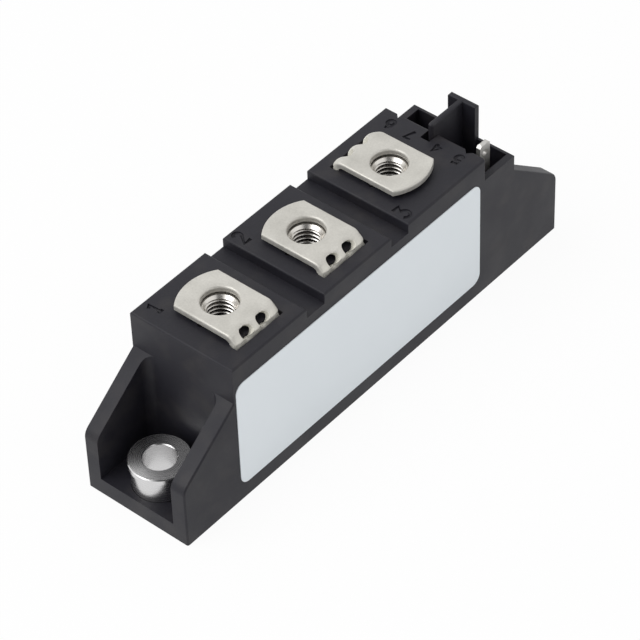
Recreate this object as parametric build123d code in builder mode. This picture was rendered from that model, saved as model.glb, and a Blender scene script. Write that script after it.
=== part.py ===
from build123d import *
from math import cos, radians, tan
import os

# Dual diode module in the flat 20 mm package with three screw terminals in a row.
# The frame has its origin on the mounting face, midway between the two mounting holes.
# +X runs to the end with the plug pockets, +Z runs up, and the label is on the -Y side.
# All sizes are in millimetres.

# Mounting bushes
bush_od = 9.3
bush_collar_od = 10.0
bush_collar = 1.0
bush_bore = 5.4
bush_top_z = 8.25
bush_chamfer = 0.15
bush_fit = 0.05

# Layout along the module, from the near end to the far end
bush_end_gap = 0.6
near_bush_gap = 1.4
near_deck_margin = 3.95
terminal_pitch = 20.0
terminal_count = 3
far_deck_margin = 6.45
pocket_length = 7.2
far_bush_gap = 0.9

# Housing, outer form
width = 20.4
deck_z = 27.8
rim_drop = 4.3
free_corner_r = 0.6
deck_edge_r = 0.4

# Screw troughs at both ends
trough_wall = 2.75
trough_floor_z = 3.1
trough_corner_r = 1.6
shoulder_drop = 6.9
lip_z = 11.6
lip_r = 2.2
trough_edge_r = 0.35

# Insulating grooves across the deck
groove_width = 4.1
groove_depth = 1.9

# Plug pockets and the tee-shaped guard between them
pocket_depth = 6.0
pocket_end_wall = 0.5
pocket_side_wall = 1.2
pocket_floor_wall = 2.0
guard_rise = 2.6
guard_label_side = 3.0
guard_other_side = 2.5
guard_bar_thick = 1.0
guard_web_thick = 1.0
guard_top_r = 0.35
guard_web_reach = 1.5
web_notch_label_side = 0.6
web_notch_other_side = 1.25
web_notch_back = 2.4
web_notch_depth = 2.6
pin_notch_reach = 1.0

# Hollow inside the housing
inner_wall = 2.2
deck_thick = 3.0
boss_wall = 1.5

# Base plate
base_side_rim = 1.6
base_end_rim = 0.6
base_thick = 3.0
base_corner_r = 1.0
base_fit = 0.1

# Terminals
strap_width = 10.1
strap_thick = 1.0
strap_lift = 0.7
strap_corner_y = 4.8
strap_tip_y = 6.5
strap_side_inset = 2.5
strap_fold_r = 1.3
strap_hole = 6.0
strap_hole_chamfer = 0.15
fold_hole_width = 2.6
fold_hole_length = 2.1
fold_hole_offset = 1.85
fold_hole_shift = -0.25
strap_foot = 4.6
leg_gap = 0.2

# Captive nuts, with their upper corners turned off to a cone
nut_flats = 8.0
nut_thick = 4.0
nut_bore = 4.4
nut_chamfer = 0.5
nut_cone_angle = 30
nut_above_deck = 0.4
nut_gap = 0.3
screw_room = 5.0
screw_room_bore = 6.0

# Plug tab and its lead
tab_width = 2.5
tab_thick = 0.8
tab_from_wall = 2.1
tab_below_deck = 0.6
tab_hole = 1.2
tab_hole_down = 1.9
tab_corner_chamfer = 0.5
tab_edge_chamfer = 0.2
tab_below_floor = 2.5
tab_gap = 0.1
lead_width = 1.8
lead_thick = 0.5
lead_rise = 3.0
lead_foot = 2.0
lead_side_margin = 0.1

# Insulated circuit on the base plate
ceramic_thick = 0.64
ceramic_margin = 0.5
ceramic_side_rim = 1.0
ceramic_gap = 0.6
pad_thick = 0.3
pad_gap = 1.6
pad_overhang = 0.5
chip_side = 9.0
chip_thick = 0.4
chip_bevel_angle = 30
chip_edge_gap = 0.3
clip_width = 5.0
clip_thick = 0.5
clip_rise = 2.2
clip_foot = 3.0
clip_bend = 0.5

# Filling
gel_depth = 6.0

# Label
label_near_margin = 0.4
label_far_margin = 1.7
label_bottom_margin = 3.0
label_top_margin = 1.9
label_thick = 0.12
label_corner_r = 1.8

# Cuts run this far past an open face, and edges are found to within the second value
past = 1.0
near = 0.01

# Places along the module
near_reach = bush_collar_od / 2 + near_bush_gap
far_reach = bush_collar_od / 2 + far_bush_gap
near_deck = near_deck_margin + strap_width / 2
far_deck = strap_width / 2 + far_deck_margin
terminal_run = (terminal_count - 1) * terminal_pitch
mount_pitch = near_reach + near_deck + terminal_run + far_deck + pocket_length + far_reach
bush_xs = (-mount_pitch / 2, mount_pitch / 2)
half_length = mount_pitch / 2 + bush_collar_od / 2 + bush_end_gap
body_near_x = bush_xs[0] + near_reach
terminal_xs = [body_near_x + near_deck + i * terminal_pitch for i in range(terminal_count)]
groove_xs = [(a + b) / 2 for a, b in zip(terminal_xs, terminal_xs[1:])]
body_far_x = terminal_xs[-1] + far_deck
pocket_far_x = body_far_x + pocket_length
web_nose_x = body_far_x - guard_web_reach + guard_web_thick / 2
web_notch_x = body_far_x - web_notch_back
base_half_length = min(-body_near_x, pocket_far_x) - base_end_rim
cavity_near_x = body_near_x + inner_wall
cavity_far_x = pocket_far_x - inner_wall
tall_cavity_far_x = body_far_x - inner_wall
tab_x = (body_far_x + pocket_far_x - pocket_end_wall) / 2

# Places across the module
half_width = width / 2
cavity_half_width = half_width - inner_wall
base_half_width = half_width - base_side_rim
ceramic_half_width = base_half_width - ceramic_side_rim
pad_half_width = ceramic_half_width - ceramic_margin
strap_fold_y = half_width - strap_side_inset
tab_y = -(half_width - pocket_side_wall - tab_from_wall)
leg_sides = (-1, -1, 1)

# Heights
rim_z = deck_z - rim_drop
shoulder_z = deck_z - shoulder_drop
slope = (shoulder_z - lip_z) / (half_length + body_near_x)
far_shoulder_z = lip_z + slope * (half_length - pocket_far_x)
groove_floor_z = deck_z - groove_depth
pocket_floor_z = rim_z - pocket_depth
guard_top_z = deck_z + guard_rise
cavity_top_z = deck_z - deck_thick
low_roof_z = pocket_floor_z - pocket_floor_wall
strap_under_z = deck_z + strap_lift
strap_top_z = strap_under_z + strap_thick
nut_top_z = deck_z + nut_above_deck
nut_floor_z = nut_top_z - nut_thick
screw_room_z = nut_floor_z - screw_room
boss_bottom_z = screw_room_z - boss_wall
tab_top_z = deck_z - tab_below_deck
tab_bottom_z = low_roof_z - tab_below_floor
ceramic_top_z = base_thick + ceramic_thick
pad_top_z = ceramic_top_z + pad_thick
chip_top_z = pad_top_z + chip_thick
lead_run_z = pad_top_z + lead_rise
gel_top_z = base_thick + gel_depth

# Nut pockets and the bosses round them
nut_corner_r = nut_flats / 2 / cos(radians(30))
nut_pocket_r = nut_flats / 2 + nut_gap
boss_half_x = nut_pocket_r / cos(radians(30)) + boss_wall
boss_half_y = nut_pocket_r + boss_wall

# Circuit: each pad reaches past its terminal, and the last one also past the lead
pad_edges = [x + strap_width / 2 + pad_overhang for x in terminal_xs]
pad_starts = [terminal_xs[0] - strap_width / 2 - pad_overhang] + [edge + pad_gap for edge in pad_edges[:-1]]
pad_ends = pad_edges[:-1] + [pad_edges[-1] + lead_foot + 2 * pad_overhang]
pad_spans = list(zip(pad_starts, pad_ends))
ceramic_split_x = pad_starts[-1] - pad_gap / 2
ceramic_spans = [
    (pad_starts[0] - ceramic_margin, ceramic_split_x - ceramic_gap / 2),
    (ceramic_split_x + ceramic_gap / 2, pad_ends[-1] + ceramic_margin),
]
chip_xs = [x0 + pad_overhang + chip_side / 2 for x0 in pad_starts[1:]]
chip_off_foot = chip_side / 2 - (strap_fold_y - strap_foot) + chip_edge_gap
chip_ys = [-side * chip_off_foot for side in leg_sides[1:]]
lead_y = -pad_half_width + lead_side_margin + lead_width / 2


def rectangle_between(x0, x1, y0, y1, corner_r=0.0):
    """Adds a rectangle with its corners at the given places to the open sketch."""
    with Locations(((x0 + x1) / 2, (y0 + y1) / 2)):
        if corner_r:
            RectangleRounded(x1 - x0, y1 - y0, corner_r)
        else:
            Rectangle(x1 - x0, y1 - y0)


def save(part, name):
    """Labels a finished piece and writes its file."""
    part.label = name
    export_step(part, f"parts/{name}.step")


os.makedirs("parts", exist_ok=True)

# Housing: one moulding with decks, troughs, nut pockets, plug pockets and guard
with BuildPart() as housing:
    # Side outline of the whole moulding, drawn the long way
    with BuildSketch(Plane.XZ) as outline:
        with BuildLine():
            Polyline(
                (-half_length, 0),
                (-half_length, lip_z),
                (body_near_x, shoulder_z),
                (body_near_x, deck_z),
                (body_far_x, deck_z),
                (body_far_x, rim_z),
                (pocket_far_x, rim_z),
                (pocket_far_x, far_shoulder_z),
                (half_length, lip_z),
                (half_length, 0),
                close=True,
            )
        make_face()
        lips = [v for v in outline.vertices() if abs(abs(v.X) - half_length) < near and v.Y > near]
        fillet(lips, lip_r)
    extrude(amount=half_width, both=True)

    # The last deck's corner on the label side stands free above the plug pocket and is rounded
    far_corners = housing.edges().filter_by(Axis.Z).filter_by_position(Axis.X, body_far_x - near, body_far_x + near)
    fillet(far_corners.sort_by(Axis.Y)[0], free_corner_r)

    # Screw troughs, open at the ends
    for side, wall_x in ((-1, body_near_x), (1, pocket_far_x)):
        end_x = side * (half_length + past)
        with BuildSketch(Plane.XY.offset(trough_floor_z)) as trough:
            rectangle_between(
                min(wall_x, end_x), max(wall_x, end_x), -half_width + trough_wall, half_width - trough_wall
            )
            fillet(trough.vertices().group_by(Axis.X)[0 if side > 0 else -1], trough_corner_r)
        extrude(amount=deck_z, mode=Mode.SUBTRACT)

    # Rounded outer edges of the trough walls, along the slopes and on round the ends
    side_faces = housing.faces().sort_by(Axis.Y)
    side_edges = (side_faces[0].edges() + side_faces[-1].edges()).filter_by(GeomType.LINE)
    sloping = [e for e in side_edges if abs((e % 0.5).X) > near and abs((e % 0.5).Z) > near]
    fillet(sloping, trough_edge_r)

    # Insulating grooves, open on both sides
    with BuildSketch(Plane.XY.offset(groove_floor_z)):
        for x in groove_xs:
            rectangle_between(x - groove_width / 2, x + groove_width / 2, -half_width - past, half_width + past)
    extrude(amount=groove_depth + past, mode=Mode.SUBTRACT)
    deck_edges = [e for deck in housing.faces().filter_by(Axis.Z).group_by(Axis.Z)[-1] for e in deck.edges()]
    fillet(deck_edges, deck_edge_r)

    # Notches in the end of the last deck, at the guard and at the two pin places
    with BuildSketch(Plane.XY.offset(deck_z - web_notch_depth)):
        rectangle_between(web_notch_x, body_far_x + past, -web_notch_label_side, web_notch_other_side)
    extrude(amount=web_notch_depth + past, mode=Mode.SUBTRACT)
    with BuildSketch(Plane.XY.offset(rim_z)):
        with Locations((body_far_x, tab_y), (body_far_x, -tab_y)):
            RegularPolygon(pin_notch_reach, 4)
    extrude(amount=rim_drop + past, mode=Mode.SUBTRACT)

    # Plug pockets
    with BuildSketch(Plane.XY.offset(pocket_floor_z)):
        rectangle_between(
            body_far_x,
            pocket_far_x - pocket_end_wall,
            -half_width + pocket_side_wall,
            half_width - pocket_side_wall,
        )
    extrude(amount=pocket_depth + past, mode=Mode.SUBTRACT)

    # Guard: a web between the pockets with a round near end, and a crossbar on the far wall
    with BuildSketch(Plane.XY.offset(pocket_floor_z)):
        rectangle_between(web_nose_x, pocket_far_x, -guard_web_thick / 2, guard_web_thick / 2)
        with Locations((web_nose_x, 0)):
            Circle(guard_web_thick / 2)
        rectangle_between(
            pocket_far_x - guard_bar_thick, pocket_far_x, -guard_label_side, guard_other_side
        )
    extrude(amount=guard_top_z - pocket_floor_z)
    fillet(housing.faces().sort_by(Axis.Z)[-1].edges(), guard_top_r)

    # Hollow: tall under the decks, low under the plug pockets
    with BuildSketch(Plane.XY):
        rectangle_between(cavity_near_x, cavity_far_x, -cavity_half_width, cavity_half_width)
    extrude(amount=low_roof_z, mode=Mode.SUBTRACT)
    with BuildSketch(Plane.XY):
        rectangle_between(cavity_near_x, tall_cavity_far_x, -cavity_half_width, cavity_half_width)
    extrude(amount=cavity_top_z, mode=Mode.SUBTRACT)

    # A boss hangs down round each nut
    with BuildSketch(Plane.XY.offset(boss_bottom_z)) as boss_outlines:
        for x in terminal_xs:
            rectangle_between(x - boss_half_x, x + boss_half_x, -boss_half_y, boss_half_y)
    extrude(amount=cavity_top_z - boss_bottom_z)
    with BuildSketch(Plane.XY.offset(nut_floor_z)):
        for x in terminal_xs:
            with Locations((x, 0)):
                RegularPolygon(nut_pocket_r, 6, major_radius=False)
    extrude(amount=deck_z - nut_floor_z + past, mode=Mode.SUBTRACT)
    with BuildSketch(Plane.XY.offset(screw_room_z)):
        for x in terminal_xs:
            with Locations((x, 0)):
                Circle(screw_room_bore / 2)
    extrude(amount=screw_room + past, mode=Mode.SUBTRACT)

    # Slots in the decks for the terminal legs
    with BuildSketch(Plane.XY.offset(boss_bottom_z)):
        for x, side in zip(terminal_xs, leg_sides):
            leg_ys = (side * (strap_fold_y + leg_gap), side * (strap_fold_y - strap_thick - leg_gap))
            leg_half_x = strap_width / 2 + leg_gap
            rectangle_between(x - leg_half_x, x + leg_half_x, min(leg_ys), max(leg_ys))
    extrude(amount=deck_z - boss_bottom_z + past, mode=Mode.SUBTRACT)

    # Slot in the pocket floor for the tab
    with BuildSketch(Plane.XY.offset(low_roof_z)):
        with Locations((tab_x, tab_y)):
            Rectangle(tab_width + 2 * tab_gap, tab_thick + 2 * tab_gap)
    extrude(amount=pocket_floor_wall + past, mode=Mode.SUBTRACT)

    # Seat for the base plate and holes for the bushes
    with BuildSketch(Plane.XY):
        rectangle_between(
            -base_half_length - base_fit,
            base_half_length + base_fit,
            -base_half_width - base_fit,
            base_half_width + base_fit,
            base_corner_r + base_fit,
        )
    extrude(amount=base_thick, mode=Mode.SUBTRACT)
    with BuildSketch(Plane.XY):
        for x in bush_xs:
            with Locations((x, 0)):
                Circle(bush_od / 2 + bush_fit)
    extrude(amount=trough_floor_z, mode=Mode.SUBTRACT)
save(housing.part, "housing")

# Base plate: nickel-plated copper, flush with the bottom of the housing
with BuildPart() as base_plate:
    with BuildSketch(Plane.XY):
        rectangle_between(-base_half_length, base_half_length, -base_half_width, base_half_width, base_corner_r)
    extrude(amount=base_thick)
save(base_plate.part, "base_plate")

# Mounting bushes: turned, with a wider collar under the screw head
for name, x in zip(("mounting_bush_near", "mounting_bush_far"), bush_xs):
    with BuildPart() as bush:
        with BuildSketch(Plane.XZ.shift_origin((x, 0, 0))):
            with BuildLine():
                Polyline(
                    (bush_bore / 2, 0),
                    (bush_od / 2, 0),
                    (bush_od / 2, bush_top_z - bush_collar - bush_chamfer),
                    (bush_collar_od / 2, bush_top_z - bush_collar),
                    (bush_collar_od / 2, bush_top_z - bush_chamfer),
                    (bush_collar_od / 2 - bush_chamfer, bush_top_z),
                    (bush_bore / 2 + bush_chamfer, bush_top_z),
                    (bush_bore / 2, bush_top_z - bush_chamfer),
                    close=True,
                )
            make_face()
        revolve(axis=Axis((x, 0, 0), (0, 0, 1)))
    save(bush.part, name)


def terminal_strap(x, side):
    """A folded strap with its hole at x and its leg on the given side, +1 or -1 in Y."""
    # In this plane the first direction runs towards the leg and the second one up
    leg_plane = Plane(origin=(x, 0, 0), x_dir=(0, side, 0), z_dir=(side, 0, 0))
    inner_face = strap_fold_y - strap_thick
    foot_end = strap_fold_y - strap_foot
    foot_top_z = pad_top_z + strap_thick
    outer_fold_r = strap_fold_r + strap_thick
    with BuildPart() as strap:
        with BuildSketch(leg_plane):
            with BuildLine():
                FilletPolyline(
                    (-strap_tip_y, strap_top_z),
                    (strap_fold_y, strap_top_z),
                    (strap_fold_y, pad_top_z),
                    (foot_end, pad_top_z),
                    radius=outer_fold_r,
                )
                Line((foot_end, pad_top_z), (foot_end, foot_top_z))
                FilletPolyline(
                    (foot_end, foot_top_z),
                    (inner_face, foot_top_z),
                    (inner_face, strap_under_z),
                    (-strap_tip_y, strap_under_z),
                    radius=strap_fold_r,
                )
                Line((-strap_tip_y, strap_under_z), (-strap_tip_y, strap_top_z))
            make_face()
        extrude(amount=strap_width / 2, both=True)

        # Round the free end to an arc through its two corners and its tip
        left = (x - strap_width / 2, -side * strap_corner_y)
        right = (x + strap_width / 2, -side * strap_corner_y)
        tip = (x, -side * strap_tip_y)
        clear_y = -side * (strap_tip_y + past)
        with BuildSketch(Plane.XY.offset(strap_under_z)):
            with BuildLine():
                ThreePointArc(left, tip, right)
                Polyline(right, (right[0], clear_y), (left[0], clear_y), left)
            make_face()
        extrude(amount=strap_thick, mode=Mode.SUBTRACT)

        # Screw hole, and two punched holes that ease the fold
        with Locations((x, 0, strap_top_z)):
            Hole(strap_hole / 2, depth=strap_thick)
        rims = strap.edges().filter_by(GeomType.CIRCLE).filter_by(lambda e: abs(e.radius - strap_hole / 2) < near)
        chamfer(rims.sort_by(Axis.Z)[-1], strap_hole_chamfer)
        fold_centre_y = side * (strap_fold_y - outer_fold_r)
        fold_centre_z = strap_top_z - outer_fold_r
        fold_plane = Plane(origin=(x, fold_centre_y, fold_centre_z), x_dir=(1, 0, 0), z_dir=(0, side, 1))
        with BuildSketch(fold_plane):
            with Locations((fold_hole_shift - fold_hole_offset, 0), (fold_hole_shift + fold_hole_offset, 0)):
                Ellipse(fold_hole_width / 2, fold_hole_length / 2)
        extrude(amount=2 * outer_fold_r, mode=Mode.SUBTRACT)
    return strap.part


# Terminals: straps 1 and 2 have their legs on the label side, strap 3 on the other side
terminals = [terminal_strap(x, side) for x, side in zip(terminal_xs, leg_sides)]
for i, strap in enumerate(terminals):
    save(strap, f"terminal_{i + 1}")

# Captive nuts
cone_drop = (nut_corner_r - nut_flats / 2) * tan(radians(nut_cone_angle))
for i, x in enumerate(terminal_xs):
    with BuildPart() as nut:
        with BuildSketch(Plane.XY.offset(nut_floor_z)):
            with Locations((x, 0)):
                RegularPolygon(nut_flats / 2, 6, major_radius=False)
        extrude(amount=nut_thick)
        with BuildSketch(Plane.XZ.shift_origin((x, 0, 0))):
            with BuildLine():
                Polyline(
                    (0, nut_floor_z),
                    (nut_corner_r + past, nut_floor_z),
                    (nut_corner_r + past, nut_top_z - cone_drop),
                    (nut_corner_r, nut_top_z - cone_drop),
                    (nut_flats / 2, nut_top_z),
                    (0, nut_top_z),
                    close=True,
                )
            make_face()
        revolve(axis=Axis((x, 0, 0), (0, 0, 1)), mode=Mode.INTERSECT)
        with Locations((x, 0, nut_top_z)):
            Hole(nut_bore / 2)
        mouths = nut.edges().filter_by(GeomType.CIRCLE).filter_by(lambda e: abs(e.radius - nut_bore / 2) < near)
        chamfer(mouths, nut_chamfer)
    save(nut.part, f"terminal_nut_{i + 1}")

# Plug tab: a flat pin with a hole near its end
with BuildPart() as tab:
    with BuildSketch(Plane.XY.offset(tab_bottom_z)):
        with Locations((tab_x, tab_y)):
            Rectangle(tab_width, tab_thick)
    extrude(amount=tab_top_z - tab_bottom_z)
    chamfer(tab.edges().filter_by(Axis.Y).group_by(Axis.Z)[-1], tab_corner_chamfer)
    chamfer(tab.faces().sort_by(Axis.Z)[-1].edges().filter_by(Axis.X), tab_edge_chamfer)
    hole_plane = Plane(origin=(tab_x, tab_y, tab_top_z - tab_hole_down), x_dir=(1, 0, 0), z_dir=(0, -1, 0))
    with BuildSketch(hole_plane):
        Circle(tab_hole / 2)
    extrude(amount=tab_thick, both=True, mode=Mode.SUBTRACT)
save(tab.part, "plug_tab")

# Lead: a bent strip from the tab down to the last copper pad
lead_x1 = pad_ends[-1] - pad_overhang
lead_x0 = lead_x1 - lead_foot
with BuildPart() as tab_lead:
    with BuildSketch(Plane.XZ.offset(-lead_y)):
        with BuildLine():
            FilletPolyline(
                (tab_x + lead_thick / 2, tab_bottom_z),
                (tab_x + lead_thick / 2, lead_run_z),
                (lead_x1, lead_run_z),
                (lead_x1, pad_top_z),
                (lead_x0, pad_top_z),
                radius=clip_bend,
            )
            Line((lead_x0, pad_top_z), (lead_x0, pad_top_z + lead_thick))
            FilletPolyline(
                (lead_x0, pad_top_z + lead_thick),
                (lead_x1 - lead_thick, pad_top_z + lead_thick),
                (lead_x1 - lead_thick, lead_run_z + lead_thick),
                (tab_x - lead_thick / 2, lead_run_z + lead_thick),
                (tab_x - lead_thick / 2, tab_bottom_z),
                radius=clip_bend,
            )
            Line((tab_x - lead_thick / 2, tab_bottom_z), (tab_x + lead_thick / 2, tab_bottom_z))
        make_face()
    extrude(amount=lead_width / 2, both=True)
save(tab_lead.part, "tab_lead")

# Ceramic insulators between the base plate and the circuit
ceramics = []
for i, (x0, x1) in enumerate(ceramic_spans):
    with BuildPart() as ceramic:
        with BuildSketch(Plane.XY.offset(base_thick)):
            rectangle_between(x0, x1, -ceramic_half_width, ceramic_half_width)
        extrude(amount=ceramic_thick)
    ceramics.append(ceramic.part)
    save(ceramic.part, f"ceramic_insulator_{i + 1}")

# Copper pads
pads = []
for i, (x0, x1) in enumerate(pad_spans):
    with BuildPart() as pad:
        with BuildSketch(Plane.XY.offset(ceramic_top_z)):
            rectangle_between(x0, x1, -pad_half_width, pad_half_width)
        extrude(amount=pad_thick)
    pads.append(pad.part)
    save(pad.part, f"copper_pad_{i + 1}")

# Diode chips, with bevelled rims
chips = []
for i, place in enumerate(zip(chip_xs, chip_ys)):
    with BuildPart() as chip:
        with BuildSketch(Plane.XY.offset(pad_top_z)):
            with Locations(place):
                Rectangle(chip_side, chip_side)
        extrude(amount=chip_thick, taper=chip_bevel_angle)
    chips.append(chip.part)
    save(chip.part, f"diode_chip_{i + 1}")

# Connector clips: bent strips from the top of each chip to the pad before it
clips = []
for i, x in enumerate(chip_xs):
    top_z = chip_top_z + clip_rise
    chip_x0 = x - clip_foot / 2
    chip_x1 = x + clip_foot / 2
    land_x1 = pad_ends[i] - pad_overhang
    land_x0 = land_x1 - clip_foot
    with BuildPart() as clip:
        with BuildSketch(Plane.XZ):
            with BuildLine():
                FilletPolyline(
                    (land_x0, pad_top_z),
                    (land_x1, pad_top_z),
                    (land_x1, top_z - clip_thick),
                    (chip_x0, top_z - clip_thick),
                    (chip_x0, chip_top_z),
                    (chip_x1, chip_top_z),
                    radius=clip_bend,
                )
                Line((chip_x1, chip_top_z), (chip_x1, chip_top_z + clip_thick))
                FilletPolyline(
                    (chip_x1, chip_top_z + clip_thick),
                    (chip_x0 + clip_thick, chip_top_z + clip_thick),
                    (chip_x0 + clip_thick, top_z),
                    (land_x1 - clip_thick, top_z),
                    (land_x1 - clip_thick, pad_top_z + clip_thick),
                    (land_x0, pad_top_z + clip_thick),
                    radius=clip_bend,
                )
                Line((land_x0, pad_top_z + clip_thick), (land_x0, pad_top_z))
            make_face()
        extrude(amount=clip_width / 2, both=True)
    clips.append(clip.part)
    save(clip.part, f"connector_clip_{i + 1}")

# Soft gel over the circuit
inner_pieces = terminals + ceramics + pads + chips + clips + [tab_lead.part, tab.part]
with BuildPart() as silicone_gel:
    with BuildSketch(Plane.XY.offset(base_thick)):
        rectangle_between(cavity_near_x, cavity_far_x, -cavity_half_width, cavity_half_width)
    extrude(amount=gel_depth)
    add(inner_pieces, mode=Mode.SUBTRACT)
save(silicone_gel.part, "silicone_gel")

# Hard resin above the gel, round the bosses and the legs
with BuildPart() as casting_resin:
    with BuildSketch(Plane.XY.offset(gel_top_z)):
        rectangle_between(cavity_near_x, cavity_far_x, -cavity_half_width, cavity_half_width)
    extrude(amount=low_roof_z - gel_top_z)
    with BuildSketch(Plane.XY.offset(gel_top_z)):
        rectangle_between(cavity_near_x, tall_cavity_far_x, -cavity_half_width, cavity_half_width)
    extrude(amount=cavity_top_z - gel_top_z)
    extrude(boss_outlines.sketch, amount=cavity_top_z - boss_bottom_z, mode=Mode.SUBTRACT)
    add(inner_pieces, mode=Mode.SUBTRACT)
save(casting_resin.part, "casting_resin")

# Label on the long side
with BuildPart() as label:
    with BuildSketch(Plane.XZ.offset(half_width)):
        rectangle_between(
            body_near_x + label_near_margin,
            body_far_x - label_far_margin,
            label_bottom_margin,
            groove_floor_z - label_top_margin,
            label_corner_r,
        )
    extrude(amount=label_thick)
save(label.part, "label")
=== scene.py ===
import math

import bpy
from mathutils import Matrix, Vector


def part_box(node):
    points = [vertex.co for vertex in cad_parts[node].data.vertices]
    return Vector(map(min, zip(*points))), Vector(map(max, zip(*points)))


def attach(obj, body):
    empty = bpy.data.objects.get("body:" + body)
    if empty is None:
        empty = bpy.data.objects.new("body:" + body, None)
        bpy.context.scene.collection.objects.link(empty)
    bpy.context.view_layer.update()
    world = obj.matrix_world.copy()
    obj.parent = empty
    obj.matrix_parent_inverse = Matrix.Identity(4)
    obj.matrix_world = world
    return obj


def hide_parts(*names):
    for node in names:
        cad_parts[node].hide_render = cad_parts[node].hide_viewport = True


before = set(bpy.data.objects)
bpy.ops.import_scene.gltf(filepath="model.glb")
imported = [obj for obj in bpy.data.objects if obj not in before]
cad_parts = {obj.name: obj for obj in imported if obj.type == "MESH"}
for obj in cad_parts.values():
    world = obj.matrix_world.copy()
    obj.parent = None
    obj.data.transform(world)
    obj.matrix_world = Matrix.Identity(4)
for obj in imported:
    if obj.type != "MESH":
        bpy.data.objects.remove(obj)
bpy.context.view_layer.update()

mm = 0.001

# Camera, found by fitting it to the photograph of a module with an 80 mm hole pitch
camera_azimuth = math.radians(-48.257)
camera_elevation = math.radians(43.812)
camera_roll = math.radians(-2.273)
camera_distance = 513.681 * mm
camera_aim_z = 15 * mm
camera_slide = (-1.326 * mm, -5.834 * mm)
focal_pixels = 3282.712
picture_pixels = 640
sensor_width = 36.0

# How near points are that get merged or lie on a plane, and how many degrees still count as flat
weld = 0.001 * mm
on_plane = 0.01 * mm
flat_turn = 0.3

# Figures sunk into the decks: width and height by the terminals and by the plug pockets, and the stroke
terminal_figure = (1.75 * mm, 2.75 * mm)
plug_figure = (1.3 * mm, 2.05 * mm)
figure_stroke = 0.65 * mm
figure_sink = 0.06 * mm
figure_skin = 0.06 * mm

# Their places in mm: along from each terminal's screw and across, and across for the row past the last
terminal_figure_places = (("1", -6.05, 7.85), ("2", -6.25, 8.0), ("3", -6.4, -7.8))
row_figure_places = (("5", -6.75), ("4", -2.45), ("7", 2.75), ("6", 7.05))
row_from_screw = 8.6 * mm

# Straps: the sheet and its lift above the deck, the fold and its two punched holes
strap_thick = 1.0 * mm
strap_lift = 0.7 * mm
fold_radius = 2.3 * mm
hole_offset = 1.85 * mm
hole_shift = -0.25 * mm
fold_hole_half = 1.3 * mm
fold_hole_half_along = 1.05 * mm

# The roll-over that the punch leaves on the upper edges of a strap and round its screw hole
punched_edge = 0.3 * mm
fold_rim = 0.09 * mm
screw_hole_r = 3.0 * mm
screw_rim = 0.4 * mm
screw_rim_steps = 6
screw_rim_clearance = 0.1 * mm

# What counts as a strap's outside, by a face's normal and place, and as the rim of a fold hole
outward = 0.3
leg_skin = 0.12 * mm
fold_rim_margin = 0.3 * mm
fold_from_screw = 5 * mm

# The net of faces that a fold is divided into before it is shaped
net_half_width = 4.75 * mm
net_back = 3.6 * mm
net_below_deck = 1.2 * mm
net_across = 0.25 * mm
net_along = 0.3 * mm

# The bent sheet stands out in three lobes beside its punched holes, and is drawn in at the holes.
# The drawing in starts and is full at two turns of the bend, in radians from upright.
lobe_rise = 0.25 * mm
lobe_foot = 0.5 * mm
lobe_drop = 1.05 * mm
lobe_power = 1.6
lobe_reach = 0.93
lobe_fade = 1.3 * mm
lobe_start, lobe_full = -0.1, 0.65

# The sheet is matt in the punched holes, and partly so along the bend, where bending draws it out. In both
# places a paler colour is painted in as painted light, which along the bend starts and is full at two turns
# of the bend, in degrees from upright
hole_wall = 1.03
bend_matt_and_painted_light_share = 0.65
bend_matt_and_light_start, bend_matt_and_light_full = 25, 70

# Screw thread of the captive nuts, M5
thread_pitch = 0.8 * mm
thread_major_r = 2.5 * mm
thread_inner_r = thread_major_r - 0.55 * mm
thread_crest = 0.06 * mm
thread_slope = math.tan(math.radians(30))
thread_steps = 72

# Ranges that the noise patterns are drawn out from, to use their full contrast
cloud_low, cloud_high = 0.3, 0.7
line_low, line_high = 0.35, 0.65

# White floor: size in metres, gap under the module, paper colour and the share of it that glows
floor_size = 6
floor_gap = 0.02 * mm
floor_paper = (0.88, 0.88, 0.88, 1)
floor_glow = 0.94

# White tent with a dark slit: the light it gives, and the slit's edges, front edge and brightness
tent_light = 0.74
slit_inside, slit_outside = 0.22, 0.40
slit_front = 0.2
slit_glow = 0.06

# Soft box above the module: place and size in metres, power in watts
key_place = (-0.45, 0.25, 0.6)
key_size = 0.5
key_watts = 2.5


def take(*pieces):
    """Leaves only these pieces selected, the first one active."""
    bpy.ops.object.select_all(action="DESELECT")
    for piece in pieces:
        piece.select_set(True)
    bpy.context.view_layer.objects.active = pieces[0]


def edit(piece, mode="VERT"):
    """Opens a piece for editing with everything selected."""
    take(piece)
    bpy.ops.object.mode_set(mode="EDIT")
    bpy.ops.mesh.select_mode(type=mode)
    bpy.ops.mesh.select_all(action="SELECT")


def leave():
    """Ends editing."""
    bpy.ops.object.mode_set(mode="OBJECT")


def add_piece(name, data):
    """Puts a mesh, curve, lamp or camera into the scene."""
    piece = bpy.data.objects.new(name, data)
    bpy.context.scene.collection.objects.link(piece)
    return piece


def finish_modifiers(piece):
    """Applies every modifier of a piece."""
    take(piece)
    for modifier in list(piece.modifiers):
        bpy.ops.object.modifier_apply(modifier=modifier.name)


def solid_copy(cad_node, name):
    """A merged copy of a CAD node, with its flat faces joined up again."""
    piece = add_piece(name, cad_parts[cad_node].data.copy())
    piece.data.name = name
    take(piece)
    bpy.ops.mesh.customdata_custom_splitnormals_clear()
    edit(piece)
    bpy.ops.mesh.remove_doubles(threshold=weld)
    bpy.ops.mesh.dissolve_limited(angle_limit=math.radians(flat_turn))
    leave()
    return piece


def edges_with_faces(mesh):
    """Every edge of a mesh with the list of faces that meet at it."""
    meeting = {}
    for face in mesh.polygons:
        for key in face.edge_keys:
            meeting.setdefault(key, []).append(face)
    return [(edge, meeting.get(tuple(sorted(edge.vertices)), [])) for edge in mesh.edges]


def sharp(first, second, degrees=50):
    """Whether two faces meet at a sharp angle."""
    return first.normal.angle(second.normal) > math.radians(degrees)


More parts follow.
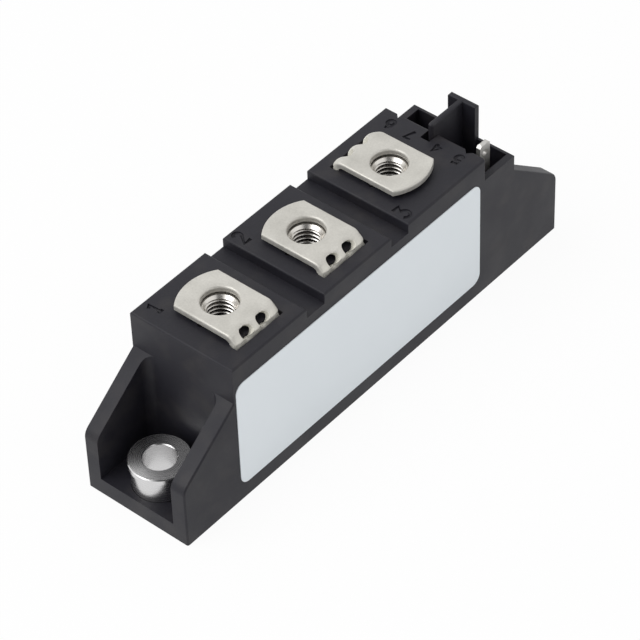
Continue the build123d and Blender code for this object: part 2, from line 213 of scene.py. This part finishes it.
def round_edges(piece, width, segments, share):
    """Rounds the edges of a piece, each by the share of the width that share(face, face, middle) gives."""
    mesh = piece.data
    weights = mesh.attributes.new("bevel_weight_edge", "FLOAT", "EDGE")
    for edge, faces in edges_with_faces(mesh):
        middle = (mesh.vertices[edge.vertices[0]].co + mesh.vertices[edge.vertices[1]].co) / 2
        weights.data[edge.index].value = share(*faces, middle) if len(faces) == 2 else 0.0
    bevel = piece.modifiers.new("round edges", "BEVEL")
    bevel.width = width
    bevel.segments = segments
    bevel.limit_method = "WEIGHT"
    bevel.use_clamp_overlap = False
    finish_modifiers(piece)
    mesh.attributes.remove(mesh.attributes["bevel_weight_edge"])


def smooth(piece, angle):
    """Shades a piece smooth, with breaks at corners sharper than an angle in degrees."""
    take(piece)
    bpy.ops.object.shade_smooth_by_angle(angle=math.radians(angle))


def cut_away(piece, cutter):
    """Cuts one piece out of another and deletes the cutter."""
    cut = piece.modifiers.new("cut", "BOOLEAN")
    cut.operation = "DIFFERENCE"
    cut.solver = "EXACT"
    cut.object = cutter
    finish_modifiers(piece)
    bpy.data.objects.remove(cutter)


def slice_up(piece, axis, places):
    """Divides a piece's faces by planes across one axis."""
    normal = [0, 0, 0]
    normal[axis] = 1
    for place in places:
        point = [0, 0, 0]
        point[axis] = place
        edit(piece)
        bpy.ops.mesh.bisect(plane_co=point, plane_no=normal, threshold=on_plane)
        leave()


def even_places(first, last, width):
    """Evenly spaced places from first to last, about a width apart."""
    count = int(round((last - first) / width))
    return [first + (last - first) * i / count for i in range(count + 1)]


def ramp(value, low, high):
    """An even S curve, which is 0 up to the low value and 1 from the high one."""
    part = min(1, max(0, (value - low) / (high - low)))
    return part * part * (3 - 2 * part)


def hand_over(piece, node):
    """The piece rides on the module in the place of a CAD node, which is hidden."""
    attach(piece, "root")
    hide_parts(node)


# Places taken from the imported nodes
strap_top_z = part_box("terminal_1")[1].z
strap_fold_y = -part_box("terminal_1")[0].y
deck_z = strap_top_z - strap_thick - strap_lift
nut_low, nut_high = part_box("terminal_nut_1")
nut_x = (nut_low.x + nut_high.x) / 2
terminal_xs = [(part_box(f"terminal_{i}")[0].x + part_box(f"terminal_{i}")[1].x) / 2 for i in (1, 2, 3)]
bush_centres = [(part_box(n)[0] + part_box(n)[1]) / 2 for n in ("mounting_bush_near", "mounting_bush_far")]


# Housing with its sunk figures


def bow(x, y, half_width, half_height, first, last, parts=14):
    """Points along part of an ellipse, between two angles in degrees."""
    turns = [math.radians(first + (last - first) * i / parts) for i in range(parts + 1)]
    return [(x + half_width * math.cos(t), y + half_height * math.sin(t)) for t in turns]


# Strokes of the figures, in a box of 1 by 1
figure_strokes = {
    "1": [[(0.12, 0.72), (0.5, 0.94), (0.5, 0.06)], [(0.22, 0.06), (0.8, 0.06)]],
    "2": [bow(0.5, 0.74, 0.36, 0.26, 170, -35) + [(0.1, 0.0), (0.95, 0.0)]],
    "3": [[(0.06, 1.0), (0.9, 1.0), (0.45, 0.62)] + bow(0.48, 0.31, 0.46, 0.31, 85, -160)],
    "4": [[(0.72, 0.0), (0.72, 1.0), (0.03, 0.3), (1.0, 0.3)]],
    "5": [[(0.9, 1.0), (0.16, 1.0), (0.1, 0.56)] + bow(0.47, 0.32, 0.47, 0.32, 125, -155)],
    "6": [bow(0.9, 0.35, 0.86, 0.65, 105, 175) + bow(0.5, 0.31, 0.46, 0.31, 180, 530, 24)],
    "7": [[(0.03, 1.0), (0.96, 1.0), (0.34, 0.0)]],
}


def figure(text, x, y, size, turn):
    """A figure of round strokes lying half in the deck, for cutting."""
    line = bpy.data.curves.new("figure", "CURVE")
    line.dimensions = "3D"
    line.bevel_depth = figure_stroke / 2
    line.bevel_resolution = 3
    line.use_fill_caps = True
    for stroke in figure_strokes[text]:
        spline = line.splines.new("POLY")
        spline.points.add(len(stroke) - 1)
        for point, (u, v) in zip(spline.points, stroke):
            point.co = ((u - 0.5) * size[0], (v - 0.5) * size[1], 0, 1)
    take(add_piece("figure", line))
    bpy.ops.object.convert(target="MESH")
    piece = bpy.context.object
    piece.data.transform(Matrix.Translation((x, y, deck_z - figure_sink)) @ Matrix.Rotation(turn, 4, "Z"))
    edit(piece)
    bpy.ops.mesh.normals_make_consistent(inside=False)
    leave()
    return piece


def merge_strokes(piece):
    """Gives crossing strokes one closed skin, made a thousand times larger, as voxels can't be this small."""
    piece.data.transform(Matrix.Scale(1 / mm, 4))
    skin = piece.modifiers.new("skin", "REMESH")
    skin.mode = "VOXEL"
    skin.voxel_size = figure_skin / mm
    finish_modifiers(piece)
    piece.data.transform(Matrix.Scale(mm, 4))


def make_housing():
    """The dark moulding, with a figure by each terminal and a row of four by the plug pockets."""
    housing = solid_copy("housing", "dark_moulding")
    figures = []
    for (text, along, across), screw_x in zip(terminal_figure_places, terminal_xs):
        figures.append(figure(text, screw_x + along * mm, across * mm, terminal_figure, 0))
    for text, across in row_figure_places:
        figures.append(figure(text, terminal_xs[2] + row_from_screw, across * mm, plug_figure, math.pi / 2))
    take(*figures)
    bpy.ops.object.join()
    merge_strokes(figures[0])
    cut_away(housing, figures[0])
    smooth(housing, angle=28)
    hand_over(housing, "housing")
    return housing


# Captive nuts with a real thread


def thread_cutter():
    """A ridge wound up the nut's axis, as wide at its foot as the pitch leaves room for."""
    foot = thread_crest + (thread_major_r - thread_inner_r) * thread_slope
    bpy.ops.mesh.primitive_plane_add(size=2, location=(0, 0, 0))
    ridge = bpy.context.object
    for v in ridge.data.vertices:
        radius, half_width = (thread_major_r, thread_crest) if v.co.x > 0 else (thread_inner_r, foot)
        v.co = Vector((radius, 0, math.copysign(half_width, v.co.y)))
    edit(ridge, "FACE")
    bpy.ops.mesh.delete(type="ONLY_FACE")
    leave()
    screw = ridge.modifiers.new("thread", "SCREW")
    screw.axis = "Z"
    screw.angle = math.tau
    screw.screw_offset = thread_pitch
    screw.iterations = int((nut_high.z - nut_low.z) / thread_pitch) + 2
    screw.steps = thread_steps
    screw.render_steps = thread_steps
    screw.use_merge_vertices = False
    finish_modifiers(ridge)
    edit(ridge)
    bpy.ops.mesh.remove_doubles(threshold=weld / 2)
    bpy.ops.mesh.fill_holes(sides=4)
    bpy.ops.mesh.normals_make_consistent(inside=False)
    leave()
    ridge.data.transform(Matrix.Translation((nut_x, 0, nut_low.z - thread_pitch)))
    return ridge


def make_nuts():
    """One nut is threaded, and the other two are copies of it."""
    first = solid_copy("terminal_nut_1", "threaded_nut_1")
    cut_away(first, thread_cutter())
    smooth(first, angle=35)
    nuts = [first]
    for i in (1, 2):
        nut = add_piece(f"threaded_nut_{i + 1}", first.data.copy())
        nut.data.transform(Matrix.Translation((terminal_xs[i] - terminal_xs[0], 0, 0)))
        nuts.append(nut)
    for i, nut in enumerate(nuts):
        hand_over(nut, f"terminal_nut_{i + 1}")
    return nuts


# Folded straps


def halve_flat_faces(strap, x):
    """Leaves each flat face with a screw hole in it as two halves, with no other seam in it."""
    slice_up(strap, 0, [x])
    mesh = strap.data
    edit(strap, "EDGE")
    bpy.ops.mesh.select_all(action="DESELECT")
    leave()
    for edge, faces in edges_with_faces(mesh):
        middle = all(abs(mesh.vertices[v].co.x - x) < on_plane for v in edge.vertices)
        edge.select = len(faces) == 2 and not middle and not sharp(*faces, flat_turn)
    bpy.ops.object.mode_set(mode="EDIT")
    bpy.ops.mesh.dissolve_edges(use_verts=False, use_face_split=False)
    leave()


def round_punched_edges(strap, x, side):
    """Rounds a strap's outline on the outside of its bend, and the rims of the two fold holes a little."""
    rim_reach = fold_hole_half + fold_rim_margin
    holes = [x + hole_shift - hole_offset, x + hole_shift + hole_offset]

    def on_outside(face):
        n = face.normal
        on_leg = side * face.center.y > strap_fold_y - leg_skin and side * n.y > outward
        return abs(n.x) < outward and (n.z > outward or on_leg)

    def share(first, second, middle):
        if not sharp(first, second) or on_outside(first) == on_outside(second):
            return 0.0
        at_fold = side * middle.y > fold_from_screw
        at_rim = at_fold and any(abs(middle.x - hole_x) < rim_reach for hole_x in holes)
        return fold_rim / punched_edge if at_rim else 1.0

    round_edges(strap, width=punched_edge, segments=4, share=share)


def round_screw_hole(strap, x):
    """Rounds the rim of a strap's screw hole with a turned cutter."""
    turns = [math.radians(90 + 90 * i / screw_rim_steps) for i in range(screw_rim_steps + 1)]
    centre_r, centre_z = screw_hole_r + screw_rim, strap_top_z - screw_rim
    profile = [(0, strap_top_z + screw_rim), (centre_r, strap_top_z + screw_rim)]
    profile += [(centre_r + screw_rim * math.cos(t), centre_z + screw_rim * math.sin(t)) for t in turns]
    profile += [(screw_hole_r - screw_rim_clearance, centre_z), (0, centre_z)]
    mesh = bpy.data.meshes.new("rim")
    mesh.from_pydata([(r, 0, z) for r, z in profile], [(i, i + 1) for i in range(len(profile) - 1)], [])
    cutter = add_piece("rim", mesh)
    edit(cutter)
    bpy.ops.mesh.spin(steps=96, angle=math.tau, center=(0, 0, 0), axis=(0, 0, 1))
    bpy.ops.mesh.select_all(action="SELECT")
    bpy.ops.mesh.remove_doubles(threshold=weld)
    bpy.ops.mesh.normals_make_consistent(inside=False)
    leave()
    cutter.data.transform(Matrix.Translation((x, 0, 0)))
    cut_away(strap, cutter)


def divide_fold(strap, x, side):
    """Divides the bend of a strap into a fine net of faces."""
    slice_up(strap, 0, even_places(x - net_half_width, x + net_half_width, net_across))
    ys = even_places(strap_fold_y - net_back, strap_fold_y - net_along, net_along)
    slice_up(strap, 1, [side * y for y in ys])
    slice_up(strap, 2, even_places(deck_z - net_below_deck, strap_top_z - net_along, net_along))


def draw_in_fold(strap, x, side):
    """Draws the bend in at its two punched holes, so that three round lobes stand out beside them."""
    # Marks where the sheet is matt and is painted paler as painted light: fully in the punched holes, partly
    # along the bend.
    matt_and_painted_light_layer = strap.data.attributes.new("matt_sheet_and_painted_light", "FLOAT", "POINT")
    arc_y, arc_z = strap_fold_y - fold_radius, strap_top_z - fold_radius
    lobe_pitch = 2 * hole_offset
    for vertex in strap.data.vertices:
        across, y, z = vertex.co.x - x - hole_shift, side * vertex.co.y, vertex.co.z
        if y < strap_fold_y - net_back or z < deck_z - lobe_fade:
            continue
        offset = Vector((0, side * max(0, y - arc_y), max(0, z - arc_z)))
        turn = math.atan2(side * offset.y, offset.z) if offset.length > 0 else 0

        along = (y - z - arc_y + arc_z) / math.sqrt(2)
        beside = abs(across) - hole_offset
        inside = math.hypot(beside / fold_hole_half, along / fold_hole_half_along) < hole_wall
        # Along the bend, the share of matt sheet and painted light grows with the turn from upright.
        bend_matt_and_painted_light = bend_matt_and_painted_light_share * ramp(math.degrees(turn), bend_matt_and_light_start, bend_matt_and_light_full)
        matt_and_painted_light_layer.data[vertex.index].value = 1.0 if inside else bend_matt_and_painted_light

        from_middle = abs(across - lobe_pitch * round(across / lobe_pitch)) / hole_offset
        from_lobe = min(lobe_reach, from_middle)
        drop = lobe_drop * (1 - (1 - from_lobe**lobe_power) ** (1 / lobe_power))
        rise = lobe_rise * ramp(z - deck_z, 0, lobe_foot)
        fade_top = ramp(turn, lobe_start, lobe_full) if offset.z > 0 else 1
        fade_deep = ramp(z - deck_z, -lobe_fade, 0)
        vertex.co += offset.normalized() * (rise - drop) * fade_top * fade_deep


def make_straps():
    """The three folded straps, with their punched edges rounded and the folds drawn in at the holes."""
    straps = []
    for i, x in enumerate(terminal_xs):
        strap = solid_copy(f"terminal_{i + 1}", f"strap_{i + 1}")
        low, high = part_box(f"terminal_{i + 1}")
        side = 1 if high.y > -low.y else -1
        halve_flat_faces(strap, x)
        round_punched_edges(strap, x, side)
        round_screw_hole(strap, x)
        divide_fold(strap, x, side)
        draw_in_fold(strap, x, side)
        smooth(strap, angle=35)
        hand_over(strap, f"terminal_{i + 1}")
        straps.append(strap)
    return straps


# Shader nodes and node groups


def node(tree, kind, **settings):
    """A new shader node with its settings."""
    made = tree.nodes.new("ShaderNode" + kind)
    for key, value in settings.items():
        setattr(made, key, value)
    return made


def wire(tree, source, target):
    """Links an output socket to an input socket."""
    tree.links.new(source, target)


def calculate(tree, operation, first, second=None):
    """A math node on one or two sockets or numbers, and its result."""
    made = node(tree, "Math", operation=operation)
    for i, value in enumerate((first, second)):
        if value is None:
            continue
        if isinstance(value, (int, float)):
            made.inputs[i].default_value = value
        else:
            wire(tree, value, made.inputs[i])
    return made.outputs[0]


def remap(tree, value, low, high, to_low, to_high):
    """Maps one range of a value to another."""
    made = node(tree, "MapRange")
    wire(tree, value, made.inputs["Value"])
    for label, number in (("From Min", low), ("From Max", high), ("To Min", to_low), ("To Max", to_high)):
        made.inputs[label].default_value = number
    return made.outputs["Result"]


def noise(tree, place, detail, dimensions="3D"):
    """A noise pattern over a place, which is a vector, or one number where it has one dimension."""
    made = node(tree, "TexNoise", noise_dimensions=dimensions)
    made.inputs["Scale"].default_value = 1.0
    made.inputs["Detail"].default_value = detail
    wire(tree, place, made.inputs["W" if dimensions == "1D" else "Vector"])
    return made


def new_group(name, inputs, outputs):
    """An empty node group with named sockets. Each input has a first value."""
    group = bpy.data.node_groups.new(name, "ShaderNodeTree")
    for label, value in inputs:
        kind = "NodeSocketVector" if isinstance(value, tuple) else "NodeSocketFloat"
        socket = group.interface.new_socket(label, in_out="INPUT", socket_type=kind)
        socket.default_value = value
    for label in outputs:
        group.interface.new_socket(label, in_out="OUTPUT", socket_type="NodeSocketFloat")
    start = group.nodes.new("NodeGroupInput")
    end = group.nodes.new("NodeGroupOutput")
    return group, start, end


def speckle_group():
    """Fine grain and slow unevenness, both from the piece's own coordinates."""
    inputs = [("Grain Scale", 4000.0), ("Cloud Scale", 90.0)]
    group, start, end = new_group("speckle", inputs, ["Grain", "Cloud"])
    coordinates = node(group, "TexCoord")
    for label, scale, detail in (("Grain", "Grain Scale", 3.0), ("Cloud", "Cloud Scale", 4.0)):
        pattern = noise(group, coordinates.outputs["Object"], detail)
        wire(group, start.outputs[scale], pattern.inputs["Scale"])
        wire(group, remap(group, pattern.outputs["Fac"], cloud_low, cloud_high, 0.0, 1.0), end.inputs[label])
    return group


def turned_group():
    """Fine rings about an upright axis through the given centre, as a lathe leaves them."""
    inputs = [("Centre", (0.0, 0.0, 0.0)), ("Rings", 5000.0)]
    group, start, end = new_group("turned rings", inputs, ["Ring", "Shade"])
    coordinates = node(group, "TexCoord")
    offset = node(group, "VectorMath", operation="SUBTRACT")
    wire(group, coordinates.outputs["Object"], offset.inputs[0])
    wire(group, start.outputs["Centre"], offset.inputs[1])
    split = node(group, "SeparateXYZ")
    wire(group, offset.outputs[0], split.inputs[0])
    squares = [calculate(group, "POWER", split.outputs[i], 2.0) for i in (0, 1)]
    radius = calculate(group, "SQRT", calculate(group, "ADD", *squares))
    along = calculate(group, "ADD", radius, split.outputs[2])
    place = calculate(group, "MULTIPLY", along, start.outputs["Rings"])
    pattern = noise(group, place, 2.0, "1D")
    wire(group, pattern.outputs["Fac"], end.inputs["Ring"])
    wire(group, remap(group, pattern.outputs["Fac"], line_low, line_high, 0.0, 1.0), end.inputs["Shade"])
    return group


def rolled_group():
    """Fine lines along one direction, as on rolled or drawn sheet."""
    group, start, end = new_group("rolled lines", [("Stretch", (300.0, 9000.0, 300.0))], ["Line"])
    coordinates = node(group, "TexCoord")
    stretch = node(group, "VectorMath", operation="MULTIPLY")
    wire(group, coordinates.outputs["Object"], stretch.inputs[0])
    wire(group, start.outputs["Stretch"], stretch.inputs[1])
    pattern = noise(group, stretch.outputs[0], 2.0)
    wire(group, remap(group, pattern.outputs["Fac"], line_low, line_high, 0.0, 1.0), end.inputs["Line"])
    return group


speckle = speckle_group()
turned = turned_group()
rolled = rolled_group()


# Materials


def new_material(name, metallic=0.0):
    """A material with only its shader and output."""
    material = bpy.data.materials.new(name)
    material.use_nodes = True
    shader = material.node_tree.nodes["Principled BSDF"]
    shader.inputs["Metallic"].default_value = metallic
    return material, material.node_tree, shader


def use_group(tree, group, **values):
    """Places a node group in a material, with its own values."""
    made = tree.nodes.new("ShaderNodeGroup")
    made.node_tree = group
    for label, value in values.items():
        made.inputs[label.replace("_", " ").title()].default_value = value
    return made


def weigh_up(tree, first, second, share=0.6):
    """Adds two values up, the first with its share and the second with the rest."""
    parts = [calculate(tree, "MULTIPLY", first, share), calculate(tree, "MULTIPLY", second, 1 - share)]
    return calculate(tree, "ADD", *parts)


def blend_colours(tree, amount, low, high):
    """Mixes two colours by a mask. The low one may be the result of another mix."""
    made = node(tree, "Mix", data_type="RGBA")
    wire(tree, amount, made.inputs["Factor"])
    if isinstance(low, tuple):
        made.inputs["A"].default_value = (*low, 1)
    else:
        wire(tree, low, made.inputs["A"])
    made.inputs["B"].default_value = (*high, 1)
    return made.outputs["Result"]


def finish_surface(tree, shader, colour, gloss, rough, height, depth):
    """Feeds the shader its colour, a roughness that follows the gloss mask, and a raised height."""
    wire(tree, colour, shader.inputs["Base Color"])
    wire(tree, remap(tree, gloss, 0.0, 1.0, *rough), shader.inputs["Roughness"])
    bump = node(tree, "Bump")
    bump.inputs["Strength"].default_value = 1.0
    bump.inputs["Distance"].default_value = depth
    wire(tree, height, bump.inputs["Height"])
    wire(tree, bump.outputs["Normal"], shader.inputs["Normal"])


def moulded_plastic():
    """Charcoal moulding compound: fine mottled grain, brownish rubbed smudges and slightly uneven gloss."""
    material, tree, shader = new_material("charcoal_moulding")
    shader.inputs["Specular IOR Level"].default_value = 0.33
    speckles = use_group(tree, speckle, grain_scale=5200.0, cloud_scale=120.0)
    grain, cloud = speckles.outputs["Grain"], speckles.outputs["Cloud"]
    smudge = use_group(tree, speckle, grain_scale=600.0, cloud_scale=210.0)
    mottle = weigh_up(tree, grain, cloud)
    compound = blend_colours(tree, mottle, (0.0092, 0.0087, 0.0132), (0.0173, 0.0167, 0.0230))
    rubbed = remap(tree, smudge.outputs["Cloud"], 0.5, 1.0, 0.0, 0.36)
    colour = blend_colours(tree, rubbed, compound, (0.040, 0.036, 0.036))
    finish_surface(tree, shader, colour, cloud, (0.47, 0.59), grain, 0.006 * mm)
    return material


def tinned_sheet():
    """Satin tin plate on copper: warm grey, cloudy, with faint rolling lines, and matt in the fold, where a
    paler colour is painted in as painted light.
    """
    material, tree, shader = new_material("tinned_sheet")
    speckles = use_group(tree, speckle, grain_scale=3500.0, cloud_scale=260.0)
    grain, cloud = speckles.outputs["Grain"], speckles.outputs["Cloud"]
    lines = use_group(tree, rolled, stretch=(7000.0, 500.0, 7000.0))
    matt_and_painted_light = node(tree, "Attribute", attribute_name="matt_sheet_and_painted_light").outputs["Fac"]
    # Less metallic where the sheet is matt, in the punched holes and along the bend.
    wire(tree, remap(tree, matt_and_painted_light, 0.0, 1.0, 0.6, 0.1), shader.inputs["Metallic"])
    mottle = weigh_up(tree, cloud, grain)
    sheet = blend_colours(tree, mottle, (0.49, 0.477, 0.437), (0.68, 0.663, 0.617))
    # Painted light: a paler colour in the punched holes and along the bend.
    colour = blend_colours(tree, matt_and_painted_light, sheet, (0.86, 0.84, 0.755))
    height = calculate(tree, "ADD", grain, lines.outputs["Line"])
    finish_surface(tree, shader, colour, grain, (0.42, 0.54), height, 0.002 * mm)
    return material


def turned_metal(name, centre):
    """Bright turned metal with lathe rings about the bush's own axis."""
    material, tree, shader = new_material(name, metallic=1.0)
    rings = use_group(tree, turned, centre=(centre.x, centre.y, 0.0), rings=9000.0)
    shade = rings.outputs["Shade"]
    colour = blend_colours(tree, shade, (0.62, 0.615, 0.62), (0.70, 0.695, 0.695))
    finish_surface(tree, shader, colour, shade, (0.20, 0.30), rings.outputs["Ring"], 0.004 * mm)
    return material


def cloudy_finish(name, low, high, rough, metallic, scales, depth):
    """A finish with a cloudy colour between two, a slightly uneven gloss and a fine raised grain."""
    material, tree, shader = new_material(name, metallic)
    speckles = use_group(tree, speckle, grain_scale=scales[0], cloud_scale=scales[1])
    grain, cloud = speckles.outputs["Grain"], speckles.outputs["Cloud"]
    finish_surface(tree, shader, blend_colours(tree, cloud, low, high), grain, rough, grain, depth)
    return material


# Scales of the grain and the clouds, and depth of the grain
steel_grain = ((5000.0, 500.0), 0.001 * mm)
film_grain = ((2500.0, 60.0), 0.001 * mm)
metal_grain = ((3000.0, 200.0), 0.0015 * mm)
solid_grain = ((3000.0, 150.0), 0.002 * mm)

# Finishes of the nodes that stay as the CAD has them: two colours, roughness, metallic, grain and nodes
node_finishes = (
    ("label_film", (0.80, 0.85, 0.885), (0.815, 0.865, 0.90), (0.42, 0.50), 0.0, film_grain, ("label",)),
    ("nickel_plate", (0.60, 0.58, 0.53), (0.66, 0.64, 0.59), (0.28, 0.40), 1.0, metal_grain, ("base_plate",)),
    ("bright_tin", (0.56, 0.55, 0.53), (0.64, 0.63, 0.60), (0.38, 0.50), 0.85, metal_grain, ("plug_tab",)),
    ("bare_copper", (0.60, 0.28, 0.17), (0.70, 0.36, 0.22), (0.28, 0.40), 1.0, metal_grain,
     ("tab_lead", "copper_pad_1", "copper_pad_2", "copper_pad_3", "connector_clip_1", "connector_clip_2")),
    ("fired_ceramic", (0.78, 0.78, 0.75), (0.84, 0.84, 0.82), (0.35, 0.45), 0.0, solid_grain,
     ("ceramic_insulator_1", "ceramic_insulator_2")),
    ("polished_silicon", (0.06, 0.06, 0.075), (0.09, 0.09, 0.105), (0.12, 0.22), 0.0, solid_grain,
     ("diode_chip_1", "diode_chip_2")),
    ("clear_gel", (0.50, 0.53, 0.55), (0.56, 0.59, 0.61), (0.15, 0.25), 0.0, solid_grain, ("silicone_gel",)),
    ("dark_resin", (0.03, 0.03, 0.032), (0.045, 0.045, 0.048), (0.30, 0.40), 0.0, solid_grain,
     ("casting_resin",)),
)


def paint(piece, material):
    """Gives a piece one material."""
    piece.data.materials.clear()
    piece.data.materials.append(material)


def make_module():
    """Makes and paints the pieces that stand for CAD nodes, and paints the nodes that stay."""
    paint(make_housing(), moulded_plastic())
    steel_colours = ((0.68, 0.65, 0.61), (0.76, 0.74, 0.70))
    steel = cloudy_finish("bright_nut_steel", *steel_colours, (0.26, 0.34), 1.0, *steel_grain)
    for nut in make_nuts():
        paint(nut, steel)
    tin = tinned_sheet()
    for strap in make_straps():
        paint(strap, tin)
    for name, centre in zip(("mounting_bush_near", "mounting_bush_far"), bush_centres):
        paint(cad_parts[name], turned_metal("turned_" + name, centre))
    for name, low, high, rough, metallic, grain, places in node_finishes:
        material = cloudy_finish(name, low, high, rough, metallic, *grain)
        for place in places:
            paint(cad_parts[place], material)


# Floor, light and camera


def make_floor():
    """A white floor under the module, which keeps a faint shadow."""
    bpy.ops.mesh.primitive_plane_add(size=floor_size, location=(0, 0, -floor_gap))
    floor = bpy.context.object
    floor.name = "floor"
    material = bpy.data.materials.new("white_floor")
    material.use_nodes = True
    tree = material.node_tree
    tree.nodes.remove(tree.nodes["Principled BSDF"])
    paper = node(tree, "BsdfDiffuse")
    paper.inputs["Color"].default_value = floor_paper
    glow = node(tree, "Emission")
    glow.inputs["Color"].default_value = (1, 1, 1, 1)
    glow.inputs["Strength"].default_value = 1.0
    path = node(tree, "LightPath")
    seen = calculate(tree, "MAXIMUM", path.outputs["Is Camera Ray"], path.outputs["Is Glossy Ray"])
    mix = node(tree, "MixShader")
    wire(tree, calculate(tree, "MULTIPLY", seen, floor_glow), mix.inputs["Fac"])
    wire(tree, paper.outputs[0], mix.inputs[1])
    wire(tree, glow.outputs[0], mix.inputs[2])
    wire(tree, mix.outputs[0], tree.nodes["Material Output"].inputs["Surface"])
    paint(floor, material)


def direction_part(tree, coordinates, direction):
    """How far a direction of the surroundings points along a given one, from -1 to 1."""
    made = node(tree, "VectorMath", operation="DOT_PRODUCT")
    wire(tree, coordinates.outputs["Generated"], made.inputs[0])
    made.inputs[1].default_value = direction
    return made.outputs["Value"]


def make_world():
    """A white tent with a dark slit on the camera's side: full white where it is seen, softer as light."""
    world = bpy.data.worlds.new("tent")
    bpy.context.scene.world = world
    world.use_nodes = True
    tree = world.node_tree
    tree.nodes.clear()
    sky = node(tree, "Background")
    sky.inputs["Color"].default_value = (1, 1, 1, 1)
    path = node(tree, "LightPath")
    coordinates = node(tree, "TexCoord")

    a = camera_azimuth
    sideways = calculate(tree, "ABSOLUTE", direction_part(tree, coordinates, (math.cos(a), math.sin(a), 0)))
    facing = direction_part(tree, coordinates, (math.sin(a), -math.cos(a), 0))
    narrow = remap(tree, sideways, slit_inside, slit_outside, 1.0, 0.0)
    in_front = remap(tree, facing, 0.0, slit_front, 0.0, 1.0)
    mirrored = remap(tree, calculate(tree, "MULTIPLY", narrow, in_front), 0.0, 1.0, 1.0, slit_glow)

    glossy = path.outputs["Is Glossy Ray"]
    seen = calculate(tree, "MAXIMUM", path.outputs["Is Camera Ray"], path.outputs["Is Transmission Ray"])
    shown = calculate(tree, "MAXIMUM", calculate(tree, "MULTIPLY", glossy, mirrored), seen)
    lighting = calculate(tree, "SUBTRACT", 1.0, calculate(tree, "MAXIMUM", seen, glossy))
    strength = calculate(tree, "ADD", shown, calculate(tree, "MULTIPLY", lighting, tent_light))
    wire(tree, strength, sky.inputs["Strength"])
    out = tree.nodes.new("ShaderNodeOutputWorld")
    wire(tree, sky.outputs[0], out.inputs["Surface"])


def make_key_lamp():
    """A square soft box aimed at the module."""
    lamp = bpy.data.lights.new("key", "AREA")
    lamp.shape = "SQUARE"
    lamp.size = key_size
    lamp.energy = key_watts
    body = add_piece("key", lamp)
    body.location = key_place
    aim = Vector((0, 0, camera_aim_z)) - Vector(key_place)
    body.rotation_euler = aim.to_track_quat("-Z", "Y").to_euler()


def camera_axes():
    """The directions back from the view, to its right and upwards, with the roll taken in."""
    a, e, r = camera_azimuth, camera_elevation, camera_roll
    back = Vector((math.sin(a) * math.cos(e), -math.cos(a) * math.cos(e), math.sin(e)))
    level = Vector((math.cos(a), math.sin(a), 0))
    upright = back.cross(level)
    return back, level * math.cos(r) + upright * math.sin(r), upright * math.cos(r) - level * math.sin(r)


def make_camera():
    """The photograph's own camera."""
    back, right, up = camera_axes()
    aim = Vector((0, 0, camera_aim_z))
    place = aim + back * camera_distance + right * camera_slide[0] + up * camera_slide[1]
    data = bpy.data.cameras.new("camera")
    data.sensor_width = sensor_width
    data.lens = focal_pixels / picture_pixels * sensor_width
    data.clip_start = 0.05
    data.clip_end = 20
    camera = add_piece("camera", data)
    camera.matrix_world = Matrix.Translation(place) @ Matrix((right, up, back)).transposed().to_4x4()
    bpy.context.scene.camera = camera


make_module()
make_floor()
make_world()
make_key_lamp()
make_camera()
bpy.context.scene.view_settings.view_transform = "Standard"
